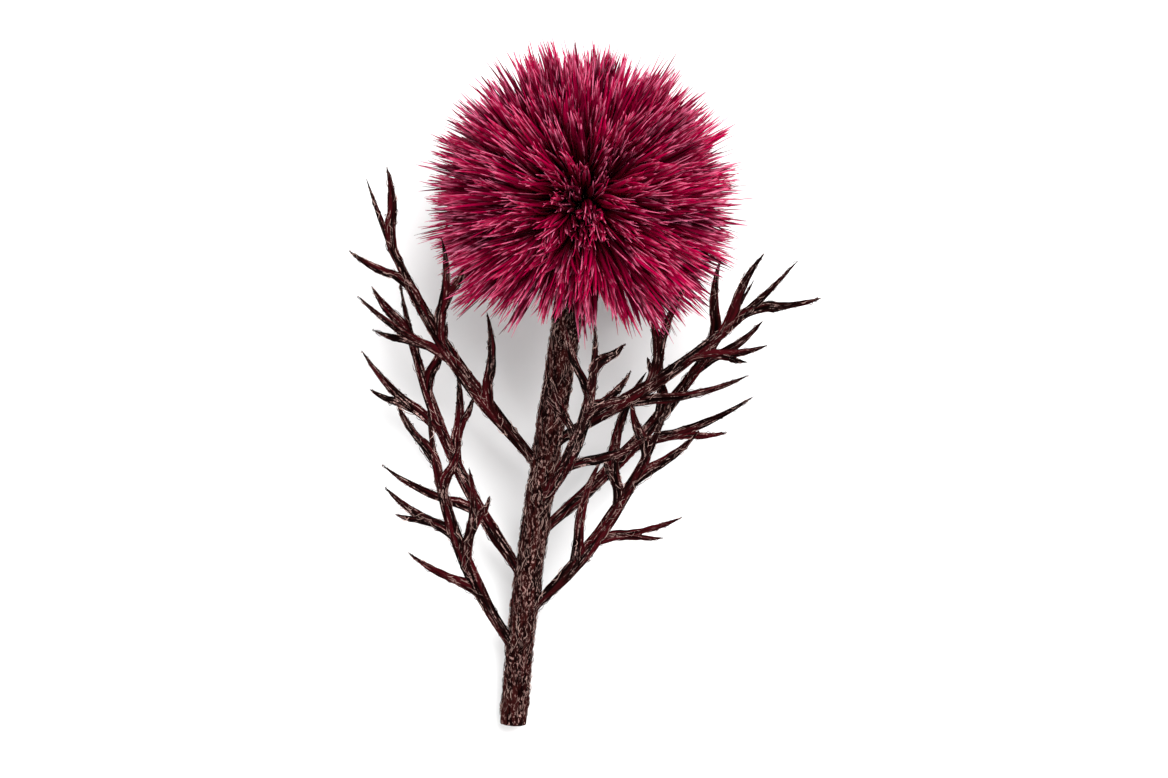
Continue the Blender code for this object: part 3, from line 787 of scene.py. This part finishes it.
def paint_leaf():
    """Dry leaf: dark brown to dull red in streaks that follow its length, with near-black painted shade in
    the grooves between the streaks, pale wool in the wrinkles and all over the underside, and almost black
    spines. The pattern reads the blade's own measures, across it and along it."""
    paint = Paint("forked_leaf")
    measures = paint.add("ShaderNodeCombineXYZ", X=paint.read("crosswise"), Y=paint.read("lengthwise"))
    grid = measures.outputs["Vector"]
    drawn_out = paint.add("ShaderNodeMapping", Vector=grid, Scale=(1.0, 0.07, 1.0)).outputs["Vector"]
    fibres = paint.noise(drawn_out, 2900.0, 3.0, 0.6)
    strands = paint.noise(drawn_out, 1000.0, 3.0)
    flecks = paint.noise(paint.place(), 1900.0, 4.0, 0.7)
    patches = paint.noise(paint.place(), 85.0, 2.0)
    # The near-black at the low end of both ramps is painted shade in the grooves between the strands.
    brown = paint.ramp(strands, (0.45, LEAF_SPINE_BLACK_AND_GROOVE_SHADE), (0.53, LEAF_BROWN), (0.66, LEAF_RED))
    red = paint.ramp(strands, (0.42, LEAF_SPINE_BLACK_AND_GROOVE_SHADE), (0.54, LEAF_RED))
    flesh = paint.mix(paint.range(patches, 0.46, 0.60, 0.0, 0.9), brown, red)
    broken = paint.range(flecks, 0.44, 0.56, 0.05, 1.0)
    matted = paint.sum("MULTIPLY", paint.range(fibres, 0.57, 0.61), broken)
    amount = paint.sum("MULTIPLY", matted, paint.range(paint.read("under"), 0.0, 1.0, 0.55, 1.0))
    woolly = paint.mix(amount, flesh, LEAF_WOOL)
    spine = paint.range(paint.read("tip"), 0.80, 1.0, 0.0, 0.85)
    paint.plug(paint.shader, "Base Color", paint.mix(spine, woolly, LEAF_SPINE_BLACK_AND_GROOVE_SHADE))
    paint.plug(paint.shader, "Roughness", paint.range(fibres, 0.3, 0.7, 0.55, 0.85))
    paint.plug(paint.shader, "Specular IOR Level", 0.015)
    paint.relief(paint.mix(0.45, fibres, strands), 0.0003, 0.9)
    return paint.material


def measured_mesh(name, blades):
    """The mesh of several blades, with what its material reads."""
    rings, *measures = (np.stack(each) for each in zip(*blades))
    mesh = closed_tubes(name, rings)
    for label, values in zip(("under", "tip", "crosswise", "lengthwise"), measures):
        note(mesh, label, values)
    return mesh


leaf_paint = paint_leaf()
leaf_draw = np.random.default_rng(23)
wool_draw = np.random.default_rng(31)
for number, (below_head, around, length, opening, twist) in enumerate(LEAVES):
    at, axis, radius = stem_at(below_head)
    up, side = across(axis)
    around, opening, twist = np.radians((around, opening, twist))
    out = up * np.cos(around) + side * np.sin(around)
    ahead = unit(axis * np.cos(opening) + out * np.sin(opening))
    inward = unit(axis - ahead * (axis @ ahead))
    lift = np.cross(ahead, inward)
    crosswise = inward * np.cos(twist) + lift * np.sin(twist)
    plane = np.stack([ahead, crosswise, lift * np.cos(twist) - inward * np.sin(twist)])
    foot = at + out * (radius + GAP + RIB_HALF_WIDTH * BASE_SHARE * np.cos(opening))
    routes = [(foot + points @ plane, half_width) for points, half_width in leaf_branches(number, length)]
    rib, half_width = routes[0]
    on_stem = at + out * (radius - LEAF_ROOT[:, :1]) - axis * LEAF_ROOT[:, 1:]
    routes[0] = (np.concatenate([on_stem, rib[1:]]), half_width)
    blades = [
        blade_rings(
            points, half_width, BASE_SHARE if k else FOOT_SHARE, plane[2] * FACES_UP[number], leaf_draw,
            leaf_draw.uniform(-0.7, 0.7),
        )
        for k, (points, half_width) in enumerate(routes)
    ]
    name = f"leaf_{number + 1}_blade"
    add_piece(name, measured_mesh(name, blades), leaf_paint, "leaves", f"leaf_{number + 1}")
    grids = np.stack([blade[0] for blade in blades])
    middles = grids.mean(axis=2)
    share = np.array([each[1] for each in routes]) * np.linalg.norm(middles[:, -1] - middles[:, 0], axis=1)
    name = f"leaf_{number + 1}_wool"
    wool = wool_mesh(name, wool_draw, grids, middles, share / share.sum(), LEAF_FIBRES)
    add_piece(name, wool, wool_paint, "leaves")


# ---- The bracts at the neck ----------------------------------------------------------------------------
# Five small bracts grow from the neck, just under the florets. They dried curling back along the stem, and
# each is a narrow leathery spine.

NECK_BRACTS = 5
NECK_BRACT_LENGTH = 0.0115
NECK_BRACT_HALF_WIDTH = 0.00055
NECK_BRACT_DROP = 0.0015  # how far below the receptacle they grow
NECK_BRACT_ROOT = 0.0012  # how deep in the stem they start
NECK_BRACT_STEPS = 7
NECK_BRACT_START = 62  # how many degrees out from the stem's way down they set off
NECK_BRACT_CURL = 92  # and how many they curl back from there

bract_up, bract_side = across(HEAD_AXIS)
for number in range(NECK_BRACTS):
    around = 2 * np.pi * (number + 0.25) / NECK_BRACTS
    out = bract_up * np.cos(around) + bract_side * np.sin(around)
    steps = np.arange(NECK_BRACT_STEPS) + 0.5
    angle = np.radians(NECK_BRACT_START - NECK_BRACT_CURL * steps / NECK_BRACT_STEPS)[:, None]
    strides = (out * np.sin(angle) - HEAD_AXIS * np.cos(angle)) * NECK_BRACT_LENGTH / NECK_BRACT_STEPS
    foot = HEAD_CENTRE - HEAD_AXIS * (RECEPTACLE_RADIUS + NECK_BRACT_DROP)
    foot = foot + out * (NECK_RADIUS + GAP + NECK_BRACT_HALF_WIDTH)
    points = np.concatenate([[foot - out * NECK_BRACT_ROOT], [foot], foot + np.cumsum(strides, axis=0)])
    blade = blade_rings(points, NECK_BRACT_HALF_WIDTH, BASE_SHARE, out + HEAD_AXIS * 0.3, leaf_draw, 0.3)
    name = f"neck_bract_{number + 1}_blade"
    add_piece(name, measured_mesh(name, [blade]), leaf_paint, "neck_bracts", f"neck_bract_{number + 1}")


# ---- The table, the light and the camera ---------------------------------------------------------------
# A plain pale table, a soft lamp above and to the right of the head, a weaker one across from it, an even
# light all round, and a long lens that looks almost straight down on the flower.

TABLE_SIZE = 3.0
TABLE_TOP = -0.00005  # just below the flower's lowest points
TABLE_WHITE = (0.86, 0.86, 0.86, 1.0)
TABLE_GREY = (0.85, 0.85, 0.85, 1.0)
# Each lamp's place, the length of its side, and its power in watts.
LAMPS = {"key_lamp": ((0.36, 0.42, 0.85), 0.80, 16.0), "fill_lamp": ((-0.50, -0.40, 0.80), 0.90, 6.0)}
SKY_LIGHT = 0.65
LENS = 100.0
SENSOR_WIDTH = 36.0
PICTURE_SHAPE = 1168 / 778
ROOM_AROUND = 1.13  # the picture's height, as a share of the flower's length
CAMERA_TILT = np.radians(2.0)


def paint_table():
    """Smooth pale board, with a very faint unevenness."""
    paint = Paint("pale_table")
    cloud = paint.noise(paint.place(), 9.0, 2.0)
    paint.plug(paint.shader, "Base Color", paint.ramp(cloud, (0.3, TABLE_GREY), (0.7, TABLE_WHITE)))
    paint.plug(paint.shader, "Roughness", 0.9)
    paint.plug(paint.shader, "Specular IOR Level", 0.2)
    return paint.material


half = TABLE_SIZE / 2
table_mesh = bpy.data.meshes.new("table_top")
table_mesh.from_pydata(
    [(x * half, y * half, TABLE_TOP) for x, y in ((-1, -1), (1, -1), (1, 1), (-1, 1))],
    [],
    [(0, 1, 2, 3)],
)
table_mesh.materials.append(paint_table())
table = bpy.data.objects.new("table_top", table_mesh)
bpy.context.scene.collection.objects.link(table)

middle = np.array([(low + high) / 2 for low, high in zip(*cad_box)])
to_flower = bpy.data.objects.new("lamp_target", None)
to_flower.location = middle
bpy.context.scene.collection.objects.link(to_flower)
for name, (position, side, power) in LAMPS.items():
    lamp = bpy.data.objects.new(name, bpy.data.lights.new(name, "AREA"))
    lamp.data.size = side
    lamp.data.energy = power
    lamp.location = position
    bpy.context.scene.collection.objects.link(lamp)
    aim = lamp.constraints.new("TRACK_TO")
    aim.target = to_flower
    aim.track_axis = "TRACK_NEGATIVE_Z"
    aim.up_axis = "UP_Y"

sky = bpy.data.worlds.new("studio")
sky.use_nodes = True
sky.node_tree.nodes["Background"].inputs["Color"].default_value = (1.0, 1.0, 1.0, 1.0)
sky.node_tree.nodes["Background"].inputs["Strength"].default_value = SKY_LIGHT
bpy.context.scene.world = sky
bpy.context.scene.view_settings.view_transform = "Standard"

camera = bpy.data.objects.new("camera", bpy.data.cameras.new("camera"))
camera.data.lens = LENS
camera.data.sensor_width = SENSOR_WIDTH
flower_length = cad_box[1][1] - cad_box[0][1]
distance = flower_length * ROOM_AROUND * PICTURE_SHAPE * LENS / SENSOR_WIDTH
camera.location = (
    middle[0],
    middle[1] - distance * np.sin(CAMERA_TILT),
    middle[2] + distance * np.cos(CAMERA_TILT),
)
camera.rotation_euler = (CAMERA_TILT, 0.0, 0.0)
camera.data.clip_start = 0.01
bpy.context.scene.collection.objects.link(camera)
bpy.context.scene.camera = camera
